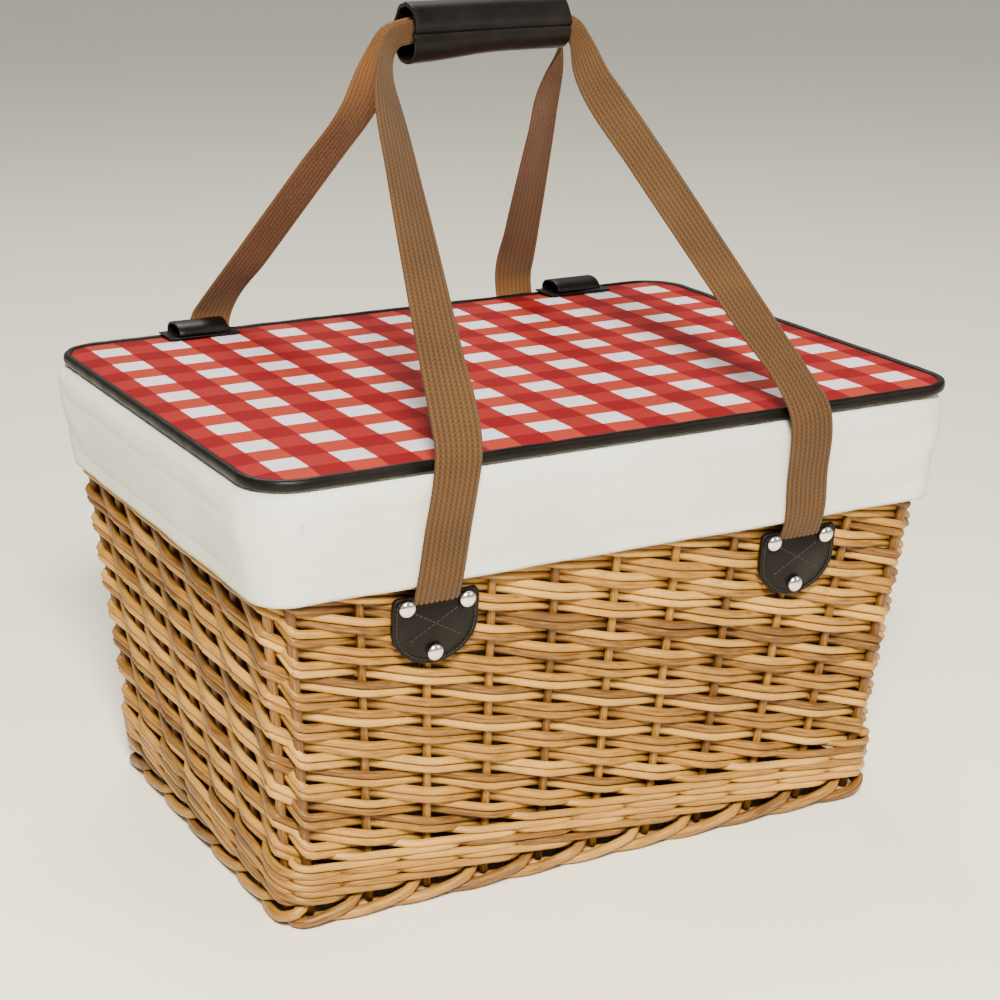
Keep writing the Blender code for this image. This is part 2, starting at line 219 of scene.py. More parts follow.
def sweepRods(rods, sides=8):
    # rods are (centre line, radius along it, tone); the uv map runs along and round each one
    corners, faces, uvs, tones = [], [], [], []
    turn = np.linspace(0, 2 * math.pi, sides, endpoint=False)
    base = 0
    for line, radii, tone in rods:
        line = np.asarray(line, float)
        radii = np.broadcast_to(np.asarray(radii, float), len(line))
        ahead = np.gradient(line, axis=0)
        ahead /= np.linalg.norm(ahead, axis=1)[:, None]
        steady = np.array((0.0, 0.0, 1.0))
        if abs(ahead[:, 2]).mean() > 0.8:
            steady = np.array((0.7, 0.7, 0.0))
        side = np.cross(ahead, steady)
        side /= np.linalg.norm(side, axis=1)[:, None]
        up = np.cross(side, ahead)
        ring = np.cos(turn)[None, :, None] * side[:, None] + np.sin(turn)[None, :, None] * up[:, None]
        corners.append((line[:, None] + radii[:, None, None] * ring).reshape(-1, 3))
        lengths = lengthsAlong(line) + tone * 3.7
        for i in range(len(line) - 1):
            for j in range(sides):
                k = (j + 1) % sides
                here, there = base + i * sides, base + (i + 1) * sides
                faces.append((here + j, there + j, there + k, here + k))
                low, high = j / sides, (j + 1) / sides
                uvs += [lengths[i], low, lengths[i + 1], low, lengths[i + 1], high, lengths[i], high]
        faces.append(tuple(range(base, base + sides)))
        last = base + (len(line) - 1) * sides
        faces.append(tuple(range(last + sides - 1, last - 1, -1)))
        uvs += [lengths[0], 0.0] * sides + [lengths[-1], 0.0] * sides
        tones.append(np.full(len(line) * sides, tone))
        base += len(line) * sides
    mesh = bpy.data.meshes.new("rods")
    mesh.from_pydata(np.concatenate(corners).tolist(), [], faces)
    layer = mesh.uv_layers.new(name="alongAndRound")
    layer.data.foreach_set("uv", np.array(uvs, float))
    toneLayer = mesh.attributes.new("tone", "FLOAT", "POINT")
    toneLayer.data.foreach_set("value", np.concatenate(tones))
    mesh.update()
    piece = bpy.data.objects.new("rods", mesh)
    bpy.context.scene.collection.objects.link(piece)
    return piece


# a wrapped socket, so that maths on values adds nodes
class NodeValue:
    def __init__(self, finish, socket):
        self.finish = finish
        self.socket = socket

    def __add__(self, other):
        return self.finish.maths("ADD", self, other)

    def __radd__(self, other):
        return self.finish.maths("ADD", other, self)

    def __sub__(self, other):
        return self.finish.maths("SUBTRACT", self, other)

    def __rsub__(self, other):
        return self.finish.maths("SUBTRACT", other, self)

    def __mul__(self, other):
        return self.finish.maths("MULTIPLY", self, other)

    def __rmul__(self, other):
        return self.finish.maths("MULTIPLY", other, self)

    def __truediv__(self, other):
        return self.finish.maths("DIVIDE", self, other)


class Finish:
    def __init__(self, name, sockets):
        self.material = bpy.data.materials.new(name)
        self.material.use_nodes = True
        self.tree = self.material.node_tree
        self.shader = self.tree.nodes["Principled BSDF"]
        for socket, value in sockets.items():
            self.shader.inputs[socket].default_value = value

    def add(self, kind, settings=None, inputs=None, out=0):
        node = self.tree.nodes.new(kind)
        for key, value in (settings or {}).items():
            if key == "stops":
                ramp = node.color_ramp
                while len(ramp.elements) < len(value):
                    ramp.elements.new(0.5)
                for element, (place, colour) in zip(ramp.elements, value):
                    element.position = place
                    element.color = (*colour, 1)
            else:
                setattr(node, key, value)
        for key, value in (inputs or {}).items():
            if isinstance(value, NodeValue):
                self.tree.links.new(value.socket, node.inputs[key])
            elif value is not None:
                node.inputs[key].default_value = value
        return NodeValue(self, node.outputs[out])

    def maths(self, operation, first, second=None):
        return self.add("ShaderNodeMath", {"operation": operation}, {0: first, 1: second})

    def place(self):
        return self.add("ShaderNodeTexCoord", out="Object")

    def uv(self):
        return self.add("ShaderNodeTexCoord", out="UV")

    def attribute(self, name):
        return self.add("ShaderNodeAttribute", {"attribute_name": name}, out="Fac")

    def split(self, vector):
        return [self.add("ShaderNodeSeparateXYZ", None, {0: vector}, out=i) for i in range(3)]

    def join(self, x, y, z):
        return self.add("ShaderNodeCombineXYZ", None, {0: x, 1: y, 2: z})

    def noise(self, vector, scale, detail=3.0, rough=0.5):
        inputs = {"Vector": vector, "Scale": scale, "Detail": detail, "Roughness": rough}
        return self.add("ShaderNodeTexNoise", None, inputs)

    def cells(self, vector, scale, feature="F1"):
        return self.add("ShaderNodeTexVoronoi", {"feature": feature}, {"Vector": vector, "Scale": scale})

    def between(self, value, low, high, start=0.0, end=1.0):
        inputs = {0: value, 1: low, 2: high, 3: start, 4: end}
        return self.add("ShaderNodeMapRange", {"clamp": True}, inputs)

    def mix(self, factor, first, second, way="MIX"):
        colours = []
        for colour in (first, second):
            colours.append(colour if isinstance(colour, NodeValue) else (*colour, 1))
        inputs = {0: factor, 6: colours[0], 7: colours[1]}
        return self.add("ShaderNodeMix", {"data_type": "RGBA", "blend_type": way}, inputs, out=2)

    def drive(self, socket, value):
        self.tree.links.new(value.socket, self.shader.inputs[socket])

    def colour(self, value):
        self.drive("Base Color", value)

    def rough(self, value):
        self.drive("Roughness", value)

    def bump(self, height, strength, distance):
        inputs = {"Height": height, "Strength": strength, "Distance": distance}
        self.drive("Normal", self.add("ShaderNodeBump", None, inputs))


wickerLook = {
    "pale": (0.50, 0.268, 0.058),
    "middle": (0.28, 0.130, 0.020),
    "dark": (0.085, 0.033, 0.006),
    "speck": (0.035, 0.012, 0.005),
}


def wickerFinish(name, stain=0.0):
    finish = Finish(name, {"Roughness": 0.4, "Specular IOR Level": 0.28})
    tone = finish.attribute("tone")
    along, around, _ = finish.split(finish.uv())
    place = finish.place()
    grainPlace = finish.join(along * 22, around * 5, tone * 40)
    streaks = finish.noise(grainPlace, 3.0, 4.0, 0.6)
    blotches = finish.noise(place, 34, 2.0, 0.5)
    streaky = finish.between(streaks, 0.28, 0.72)
    mixture = tone * 0.55 + streaky * 0.42 + blotches * 0.34 - 0.22 - stain
    ramp = finish.add("ShaderNodeValToRGB", {"stops": [
        (0.12, wickerLook["dark"]), (0.45, wickerLook["middle"]), (0.9, wickerLook["pale"])]}, {0: mixture})
    specks = finish.noise(finish.join(along * 260, around * 6, tone * 90), 1.0, 2.0, 0.7)
    speckMask = finish.between(specks, 0.68, 0.76)
    colour = finish.mix(speckMask * 0.75, ramp, wickerLook["speck"])
    knots = finish.between(finish.cells(finish.join(along * 26, around * 1.0, tone * 60), 1.0), 0.10, 0.02)
    colour = finish.mix(knots * 0.65, colour, wickerLook["speck"])
    finish.colour(colour)
    finish.rough(finish.between(streaks, 0.3, 0.7, 0.30, 0.50))
    fine = finish.noise(finish.join(along * 60, around * 26, tone * 20), 2.0, 3.0, 0.6)
    finish.bump(fine * 0.6 + streaks * 0.6 - knots * 0.6, 0.35, 0.0006)
    return finish.material


clothLook = {"white": (0.81, 0.79, 0.69), "shade": (0.60, 0.58, 0.48), "thread": 0.00115}


def clothFinish(name):
    finish = Finish(name, {"Roughness": 0.92, "Specular IOR Level": 0.2, "Sheen Weight": 0.15})
    along, up, _ = finish.split(finish.uv())
    diagonal = (along + up) / clothLook["thread"]
    warp = finish.maths("SINE", diagonal * 2 * math.pi)
    weft = finish.maths("SINE", (along - up) * (2 * math.pi / (clothLook["thread"] * 2.2)))
    slubs = finish.noise(finish.join(along * 240, up * 1500, 0.0), 1.0, 2.0, 0.6)
    clouds = finish.noise(finish.place(), 14, 3.0, 0.5)
    shade = warp * 0.13 + slubs * 0.35 + clouds * 0.5
    finish.colour(finish.mix(finish.between(shade, 0.2, 0.62), clothLook["shade"], clothLook["white"]))
    finish.bump(warp * 0.6 + weft * 0.2 + slubs * 0.9, 0.8, 0.0005)
    return finish.material


checkLook = {
    "square": 0.019, "shiftX": 0.0030, "shiftY": 0.0190,
    "white": (0.54, 0.48, 0.51), "deep": (0.145, 0.0002, 0.0018),
    "acrossHalf": (0.265, 0.022, 0.011), "alongHalf": (0.21, 0.008, 0.007),
}


def checkFinish(name):
    finish = Finish(name, {"Roughness": 0.8, "Specular IOR Level": 0.12})
    place = finish.place()
    x, y, _ = finish.split(place)
    wander = finish.noise(place, 220, 2.0, 0.6) * 0.0006 - 0.0003
    square = checkLook["square"]
    softness = 0.00025
    column = finish.maths("PINGPONG", x - checkLook["shiftX"] + wander, square)
    row = finish.maths("PINGPONG", y - checkLook["shiftY"] + wander, square)
    whiteColumn = finish.between(column, square / 2 + softness, square / 2 - softness)
    whiteRow = finish.between(row, square / 2 + softness, square / 2 - softness)
    redRow = finish.mix(whiteColumn, checkLook["deep"], checkLook["acrossHalf"])
    paleRow = finish.mix(whiteColumn, checkLook["alongHalf"], checkLook["white"])
    colour = finish.mix(whiteRow, redRow, paleRow)
    thread = 0.0007
    twill = finish.maths("SINE", (x + y) * (2 * math.pi / thread))
    slubs = finish.noise(finish.join(x * 900, y * 260, 0.0), 1.0, 2.0, 0.6)
    clouds = finish.noise(place, 30, 3.0, 0.5)
    shade = finish.between(twill * 0.12 + slubs * 0.6 + clouds * 0.5, 0.3, 0.9, 0.86, 1.08)
    level = finish.join(shade, shade, shade)
    finish.colour(finish.mix(1.0, colour, level, "MULTIPLY"))
    finish.bump(twill * 0.4 + slubs * 0.8, 0.28, 0.0003)
    return finish.material


leatherLook = {
    "base": (0.0020, 0.0013, 0.0009), "worn": (0.0055, 0.0036, 0.0026),
    "rough": (0.34, 0.50), "grain": 1500,
}


def leatherFinish(name):
    finish = Finish(name, {"Specular IOR Level": 0.13})
    place = finish.place()
    pebbles = finish.cells(place, leatherLook["grain"], "SMOOTH_F1")
    folds = finish.noise(place, 160, 4.0, 0.6)
    clouds = finish.noise(place, 45, 3.0, 0.5)
    wear = finish.between(clouds * 0.6 + folds * 0.5, 0.45, 0.85)
    finish.colour(finish.mix(wear, leatherLook["base"], leatherLook["worn"]))
    finish.rough(finish.between(clouds, 0.3, 0.7, *leatherLook["rough"]))
    finish.bump(pebbles * 0.7 + folds * 0.9, 0.35, 0.0004)
    return finish.material


webbingLook = {
    "front": {"pale": (0.080, 0.036, 0.0085), "dark": (0.024, 0.0105, 0.0024)},
    "rear": {"pale": (0.135, 0.056, 0.014), "dark": (0.062, 0.024, 0.0055)},
    "knit": 0.0026, "ribs": 9,
}


def webbingFinish(name, shades):
    finish = Finish(name, {"Roughness": 0.85, "Specular IOR Level": 0.2, "Sheen Weight": 0.05})
    along, around, _ = finish.split(finish.uv())
    ribs = webbingLook["ribs"] * 2
    rib = finish.maths("PINGPONG", around * ribs, 0.5) * 2
    slant = along / webbingLook["knit"] + rib * 0.8
    knit = finish.maths("SINE", slant * 2 * math.pi)
    fuzz = finish.noise(finish.join(along * 900, around * 160, 0.0), 1.0, 3.0, 0.7)
    clouds = finish.noise(finish.place(), 30, 3.0, 0.5)
    # the rib term paints shade into the furrows between the raised ribs and at the edges, and paints the
    # crests lighter
    shade = finish.between(knit * 0.14 + fuzz * 0.34 + clouds * 0.4 + rib * 0.42, 0.30, 0.95)
    finish.colour(finish.mix(shade, shades["dark"], shades["pale"]))
    finish.bump(knit * 0.5 + fuzz * 0.2, 0.4, 0.00022)
    return finish.material


def nickelFinish(name):
    finish = Finish(name, {"Base Color": (0.74, 0.72, 0.69, 1), "Metallic": 1.0})
    place = finish.place()
    smears = finish.noise(place, 260, 3.0, 0.6)
    finish.rough(finish.between(smears, 0.3, 0.7, 0.12, 0.26))
    finish.bump(smears, 0.05, 0.0002)
    return finish.material


def plainFinish(name, first, second, scale, rough):
    finish = Finish(name, {"Roughness": rough})
    spots = finish.noise(finish.place(), scale, 4.0, 0.6)
    finish.colour(finish.mix(finish.between(spots, 0.3, 0.7), first, second))
    finish.bump(spots, 0.2, 0.0004)
    return finish.material


willow = wickerFinish("peeledWillow")
willowFoot = wickerFinish("peeledWillowFoot", stain=0.06)
stakeWillow = wickerFinish("stakeWillow", stain=0.12)
linerCotton = clothFinish("linerCotton")
checkedCotton = checkFinish("checkedCotton")
darkLeather = leatherFinish("darkLeather")
stitchThread = plainFinish("stitchThread", (0.006, 0.0045, 0.004), (0.014, 0.011, 0.009), 900, 0.8)
frontWebbingFinish = webbingFinish("frontWebbing", webbingLook["front"])
rearWebbingFinish = webbingFinish("rearWebbing", webbingLook["rear"])
nickel = nickelFinish("polishedNickel")
# painted shade: a dark brown cloth colour that stands in for the shade seen through the gaps in the weave
bagOutsidePaintedShade = plainFinish("bagOutsidePaintedShade", (0.050, 0.026, 0.011), (0.085, 0.047, 0.022), 260, 0.9)
boardFinish = plainFinish("lidBoard", (0.36, 0.25, 0.16), (0.46, 0.33, 0.22), 300, 0.8)
say("materials made")


viewing = {"place": (-0.6066, -1.1557, 0.5917), "azimuth": 27.95, "down": 17.5, "lens": 82.1}
tilt = math.radians(90 - viewing["down"])
heading = -math.radians(viewing["azimuth"])
bpy.ops.object.camera_add(location=viewing["place"], rotation=(tilt, 0, heading))
camera = bpy.context.object
camera.data.lens = viewing["lens"]
bpy.context.scene.camera = camera

lamps = {
    "keyLight": {"place": (-0.75, -1.70, 1.60), "size": 0.45, "power": 200, "tint": (1.0, 0.97, 0.90)},
    "fillLight": {"place": (1.7, -1.8, 1.3), "size": 1.0, "power": 20, "tint": (1.0, 0.99, 0.97)},
    "backLight": {"place": (0.3, 1.4, 2.3), "size": 1.0, "power": 55, "tint": (1.0, 1.0, 0.97)},
}
for lampName, lamp in lamps.items():
    bpy.ops.object.light_add(type="AREA", location=lamp["place"])
    light = bpy.context.object
    light.name = lampName
    light.data.energy = lamp["power"]
    light.data.size = lamp["size"]
    light.data.color = lamp["tint"]
    aim = Vector((0, 0, 0.18)) - Vector(lamp["place"])
    light.rotation_euler = aim.to_track_quat("-Z", "Y").to_euler()

world = bpy.data.worlds.new("paleRoom")
world.use_nodes = True
sky = world.node_tree.nodes["Background"]
sky.inputs["Color"].default_value = (0.98, 0.96, 0.89, 1)
sky.inputs["Strength"].default_value = 0.48
bpy.context.scene.world = world

bpy.ops.mesh.primitive_plane_add(size=12, location=(0, 0, 0))
floor = bpy.context.object
floor.name = "paleTable"
tableFinish = Finish("paleTableTop", {"Base Color": (0.88, 0.82, 0.66, 1), "Roughness": 0.16})
tableClouds = tableFinish.noise(tableFinish.place(), 3, 2.0, 0.5)
tableFinish.rough(tableFinish.between(tableClouds, 0.3, 0.7, 0.12, 0.18))
floor.data.materials.append(tableFinish.material)
say("camera, light and floor placed")


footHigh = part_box("foot_border")[1]
wicker = {
    "baseX": footHigh[0], "baseY": footHigh[1], "flareX": 0.086, "flareY": 0.125,
    "baysLong": 10, "baysShort": 6, "postGap": 0.0135, "cornerRadius": 0.010,
    "depthX": 0.0005, "depthY": 0.0068, "swing": 0.0047, "stakeRadius": 0.0024, "postRadius": 0.0029,
    "firstCourse": 0.0480, "lastCourse": 0.228, "lowPitch": 0.0184, "highPitch": 0.0182,
    "stakeLow": 0.007, "stakeHigh": 0.243, "stakePoints": 16, "rodSpan": 11,
}
stakeCount = 2 * (wicker["baysLong"] + wicker["baysShort"] + 2)


def wallPoint(stake, height, out):
    # a place on the wall: stake counts round the basket, out is measured from the stakes' middle
    reachX = wicker["baseX"] + wicker["flareX"] * height - wicker["depthX"]
    reachY = wicker["baseY"] + wicker["flareY"] * height - wicker["depthY"]
    radius = wicker["cornerRadius"] + 0 * height
    overhang = (math.pi / 2 * wicker["cornerRadius"] - wicker["postGap"]) / 2
    longBay = (2 * (reachX - radius) + 2 * overhang) / wicker["baysLong"]
    shortBay = (2 * (reachY - radius) + 2 * overhang) / wicker["baysShort"]
    bays = [(wicker["baysLong"], longBay), (1, wicker["postGap"]),
            (wicker["baysShort"], shortBay), (1, wicker["postGap"])] * 2
    stake = np.mod(stake, stakeCount)
    way = 0 * stake - overhang
    start = 0
    for count, length in bays:
        way = way + np.clip(stake - start, 0, count) * length
        start += count
    x, y, normalX, normalY = walkLoop(way, reachX, reachY, radius)
    return np.stack([x + out * normalX, y + out * normalY, height + 0 * x], -1)


def courseLevels():
    levels = []
    height = wicker["firstCourse"]
    while height < wicker["lastCourse"]:
        share = (height - wicker["firstCourse"]) / (wicker["lastCourse"] - wicker["firstCourse"])
        pitch = wicker["lowPitch"] + (wicker["highPitch"] - wicker["lowPitch"]) * share
        levels.append((height, pitch))
        height += pitch
    return levels


rodTones = {}


def toneOf(*key):
    if key not in rodTones:
        rodTones[key] = (dice.random(), dice.uniform(0.93, 1.07))
    return rodTones[key]


stroke = {
    "above": 0.51, "below": 0.49, "bow": 0.0003, "apart": 7.7, "girth": 7.55,
    "rising": (-0.06, 0.05, 0.3, 0.6, 0.86), "falling": (0.14, 0.4, 0.7, 0.95, 1.06),
    # shares of the points before, over and after the stake, round the bend
    "bend": ((0.055, 0.94, 0.005), (0.0455, 0.909, 0.0455), (0.005, 0.94, 0.055)),
}


def strokeLine(stake, height, drop, swing, rise):
    # straight from behind the stake before, over this one with a sharp bend, to behind the next
    before = wallPoint(stake - 1.0, height + stroke["above"] * drop + rise, -swing)
    over = wallPoint(stake + 0.0, height + rise, swing)
    after = wallPoint(stake + 1.0, height - stroke["below"] * drop + rise, -swing)
    out = over - (before + after) / 2
    out = out / np.linalg.norm(out)
    line = []
    for start, end, shares in ((before, over, stroke["rising"]), (over, after, stroke["falling"])):
        for share in shares:
            bow = stroke["bow"] * math.sin(math.pi * min(max(share, 0), 1))
            line.append(start + (end - start) * share + out * bow)
    middle = len(stroke["rising"])
    line[middle:middle] = [a * before + b * over + c * after for a, b, c in stroke["bend"]]
    return np.array(line)


def weaveStrokes(stakes):
    # pairs of rods that pass over one stake and behind the next, sinking half a pitch each time
    rods = []
    for stake in stakes:
        for level, (height, pitch) in enumerate(courseLevels()):
            lift = dice.uniform(-0.0005, 0.0005)
            for which in (-1, 1):
                rodNumber = stake + 2 * level
                tone, girth = toneOf(rodNumber, stake // wicker["rodSpan"], which)
                swing = wicker["swing"] + dice.uniform(-0.0003, 0.0004)
                rise = lift + which * pitch / stroke["apart"] + dice.uniform(-0.0002, 0.0002)
                line = strokeLine(stake, height, pitch, swing, rise)
                radii = pitch / stroke["girth"] * girth * np.linspace(1.04, 0.96, len(line))
                rods.append((line, radii, tone))
    return rods


def stakeRods(stakes, radius):
    rods = []
    heights = np.linspace(wicker["stakeLow"], wicker["stakeHigh"], wicker["stakePoints"])
    for stake in stakes:
        wobble = 0.0003 * np.sin(heights * 60 + stake)
        line = wallPoint(stake + 0 * heights, heights, wobble)
        rods.append((line, radius, dice.uniform(0.1, 0.6)))
    return rods


def buildWalls():
    longs, shorts = wicker["baysLong"], wicker["baysShort"]
    corner = {"front_right": longs, "back_right": longs + shorts + 1,
              "back_left": 2 * longs + shorts + 2, "front_left": stakeCount - 1}
    walls = {"front": range(1, longs), "right": range(longs + 2, longs + shorts + 1),
             "back": range(longs + shorts + 3, 2 * longs + shorts + 2),
             "left": range(2 * longs + shorts + 4, stakeCount - 1)}
    for side, stakes in walls.items():
        piece = sweepRods(weaveStrokes(stakes))
        finishPiece(piece, side + "WallWeave", willow, "basket", ["weave_" + side])
        piece = sweepRods(stakeRods(stakes, wicker["stakeRadius"]))
        finishPiece(piece, side + "WallStakes", stakeWillow, "basket")
    for name, first in corner.items():
        pair = (first, (first + 1) % stakeCount)
        piece = sweepRods(weaveStrokes(pair))
        finishPiece(piece, "cornerWeave_" + name, willow, "basket", ["corner_weave_" + name])
        face = name.split("_")[0]
        posts = ["post_%s_%s" % (name, face), "post_%s_side" % name]
        piece = sweepRods(stakeRods(pair, wicker["postRadius"]))
        finishPiece(piece, "cornerPosts_" + name, stakeWillow, "basket", posts)


wale = {
    "rows": (0.0193, 0.0274, 0.0355), "drop": 0.0043, "radius": 0.0023, "swing": 0.0054,
    "reach": 3, "points": 19, "bulge": 2.1,
}


def buildWale():
    rods = []
    reach = wale["reach"]
    travel = np.linspace(0, reach, wale["points"])
    for row, height in enumerate(wale["rows"]):
        for stake in range(stakeCount):
            tone, girth = toneOf("wale", row, stake)
            bulge = smoothstep(0, 0.8, travel) * smoothstep(0, 0.8, reach - travel)
            out = -wale["swing"] + wale["bulge"] * wale["swing"] * bulge
            heights = height + (reach / 2 - travel) * wale["drop"] + dice.uniform(-0.0004, 0.0004)
            line = wallPoint(stake + travel, heights, out)
            rods.append((line, wale["radius"] * girth, tone))
    piece = sweepRods(rods)
    finishPiece(piece, "bottomWale", willow, "basket", ["bottom_wale"])


foot = {
    "radius": 0.0029, "reach": 2.5, "points": 19, "low": 0.0029, "rise": 0.0122, "fall": 0.64,
    "start": -0.004, "outwards": 0.0105, "backIn": 0.0120,
}


def buildFoot():
    # each stake's end comes out under the wale, leans down to the left and goes under its neighbours
    rods = []
    travel = np.linspace(0, foot["reach"], foot["points"])
    for stake in range(stakeCount):
        tone, girth = toneOf("foot", stake)
        radius = foot["radius"] * girth
        heights = foot["low"] + foot["rise"] * np.exp(-((travel / foot["fall"]) ** 1.3))
        heights = np.maximum(heights, radius + 0.0002)
        out = foot["start"] + foot["outwards"] * smoothstep(0, 0.45, travel)
        out = out - foot["backIn"] * smoothstep(1.15, foot["reach"], travel)
        line = wallPoint(stake - travel, heights, out)
        rods.append((line, radius * (1.06 - 0.12 * travel / foot["reach"]), tone * 0.8))
    piece = sweepRods(rods)
    finishPiece(piece, "footBorder", willowFoot, "basket", ["foot_border"])


base = {
    "rods": 30, "sticks": 9, "radius": 0.0032, "stickRadius": 0.0022, "height": 0.0118,
    "spread": 0.88, "wave": 0.0021, "points": 64, "stickPoints": 8,
}


def stickRod(x, fromY, toY, height, tone):
    y = np.linspace(fromY, toY, base["stickPoints"])
    return np.stack([x + 0 * y, y, height + 0 * y], 1), base["stickRadius"], tone


def buildBase():
    reachX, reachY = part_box("base_mat")[1][:2]
    sticks = np.linspace(-base["spread"], base["spread"], base["sticks"]) * reachX
    gap = sticks[1] - sticks[0]
    rods = []
    x = np.linspace(-reachX, reachX, base["points"])
    for i in range(base["rods"]):
        y = (2 * (i + 0.5) / base["rods"] - 1) * reachY
        tone, girth = toneOf("base", i)
        wave = np.cos(math.pi * (x - sticks[0]) / gap) * (1 if i % 2 else -1)
        heights = base["height"] + base["wave"] * wave
        rods.append((np.stack([x, y + 0 * x, heights], 1), base["radius"] * girth, tone))
    piece = sweepRods(rods)
    finishPiece(piece, "baseWeave", willow, "basket", ["base_mat"])
    rods = []
    for i, place in enumerate(sticks):
        rods.append(stickRod(place, -reachY, reachY, base["height"], 0.3 + 0.05 * i))
    stands = ["base_stick_left", "base_stick_middle", "base_stick_right"]
    for name in stands:
        low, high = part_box(name)
        middle = boxMiddle(low, high)
        rods.append(stickRod(middle[0], low[1], high[1], middle[2], 0.5))
    piece = sweepRods(rods)
    finishPiece(piece, "baseSticks", stakeWillow, "basket", stands)


buildWalls()
buildWale()
buildFoot()
buildBase()
dressNode("rim_border", stakeWillow)
say("wicker woven")


cuff = {
    # reach in x, reach in y, corner radius, height, from the hem up, over and down inside
    "levels": (
        (0.2110, 0.1592, 0.020, 0.1962), (0.2114, 0.1598, 0.021, 0.2000), (0.2126, 0.1606, 0.022, 0.2070),
        (0.2150, 0.1624, 0.024, 0.2200), (0.2173, 0.1642, 0.027, 0.2350), (0.2188, 0.1650, 0.028, 0.2460),
        (0.2186, 0.1645, 0.028, 0.2520), (0.2150, 0.1620, 0.026, 0.2560), (0.2095, 0.1590, 0.024, 0.2568),
        (0.1960, 0.1510, 0.020, 0.2566), (0.1915, 0.1468, 0.018, 0.2540), (0.1905, 0.1463, 0.018, 0.2460),
        (0.1900, 0.1460, 0.018, 0.2360),
    ),
    "thickness": 0.0009, "hem": 0.0105, "flat": (1.48, 0.108), "columns": 420, "rows": 46,
    "soft": 0.0007, "softFine": 0.00035, "fold": 0.0007, "seam": -0.0005, "seamWidth": 0.0010,
    "crease": -0.0004, "creaseHeight": 0.2385, "creaseWidth": 0.0016, "wave": 0.0010,
}


def cuffShape(u, v):
    levels = np.array(cuff["levels"])
    places = lengthsAlong(levels[:, [1, 3]])
    places = places / places[-1]
    reachX, reachY, radius, height = (np.interp(v, places, levels[:, i]) for i in range(4))
    x, y, normalX, normalY = loopPoint(u, reachX, reachY, radius)
    outside = smoothstep(0.62, 0.5, v)
    points = np.stack([x, y, height], 1)
    soft = ripple(points * (1, 1, 0.5), 11, 3.1) * cuff["soft"]
    soft = soft + ripple(points * (1, 1, 0.25), 34, 8.4) * cuff["softFine"]
    cornerNear = smoothstep(0.05, 0.0, np.hypot(np.abs(x) - reachX + 0.012, np.abs(y) - reachY + 0.012))
    slant = points[:, 2] + 0.35 * np.hypot(np.abs(x) - reachX, np.abs(y) - reachY)
    folds = cornerNear * cuff["fold"] * np.sin(slant * 190 + 2 * ripple(points, 18, 5.0))
    seam = cuff["seam"] * np.exp(-((height - levels[0, 3] - cuff["hem"]) / cuff["seamWidth"]) ** 2)
    creaseHeight = cuff["creaseHeight"] + 0.001 * np.sin(u * 40)
    crease = cuff["crease"] * np.exp(-((height - creaseHeight) / cuff["creaseWidth"]) ** 2)
    push = outside * (soft + folds + seam + crease)
    wave = outside * smoothstep(0.4, 0.0, v) * cuff["wave"] * ripple(points * (1, 1, 0), 24, 1.7)
    return x + push * normalX, y + push * normalY, height + wave


def buildCuff():
    piece = gridPiece(cuff["columns"], cuff["rows"], cuffShape, closeAlong=True)
    scaleUvs(piece, *cuff["flat"])
    giveThickness(piece, cuff["thickness"])
    applyAll(piece)
    finishPiece(piece, "linerCuff", linerCotton, "basket", ["liner_cuff"])


bag = {
    "inset": 0.0140, "bottom": 0.0175, "top": 0.2355, "flat": (0.77, 0.67), "area": 0.35, "thickness": 0.0007,
    "corner": 0.02, "bottomCorner": 0.008, "rows": 14, "columns": 24, "columnEdge": 0.021,
    "puff": 0.0022, "puffFine": 0.0012, "sag": 0.002,
}


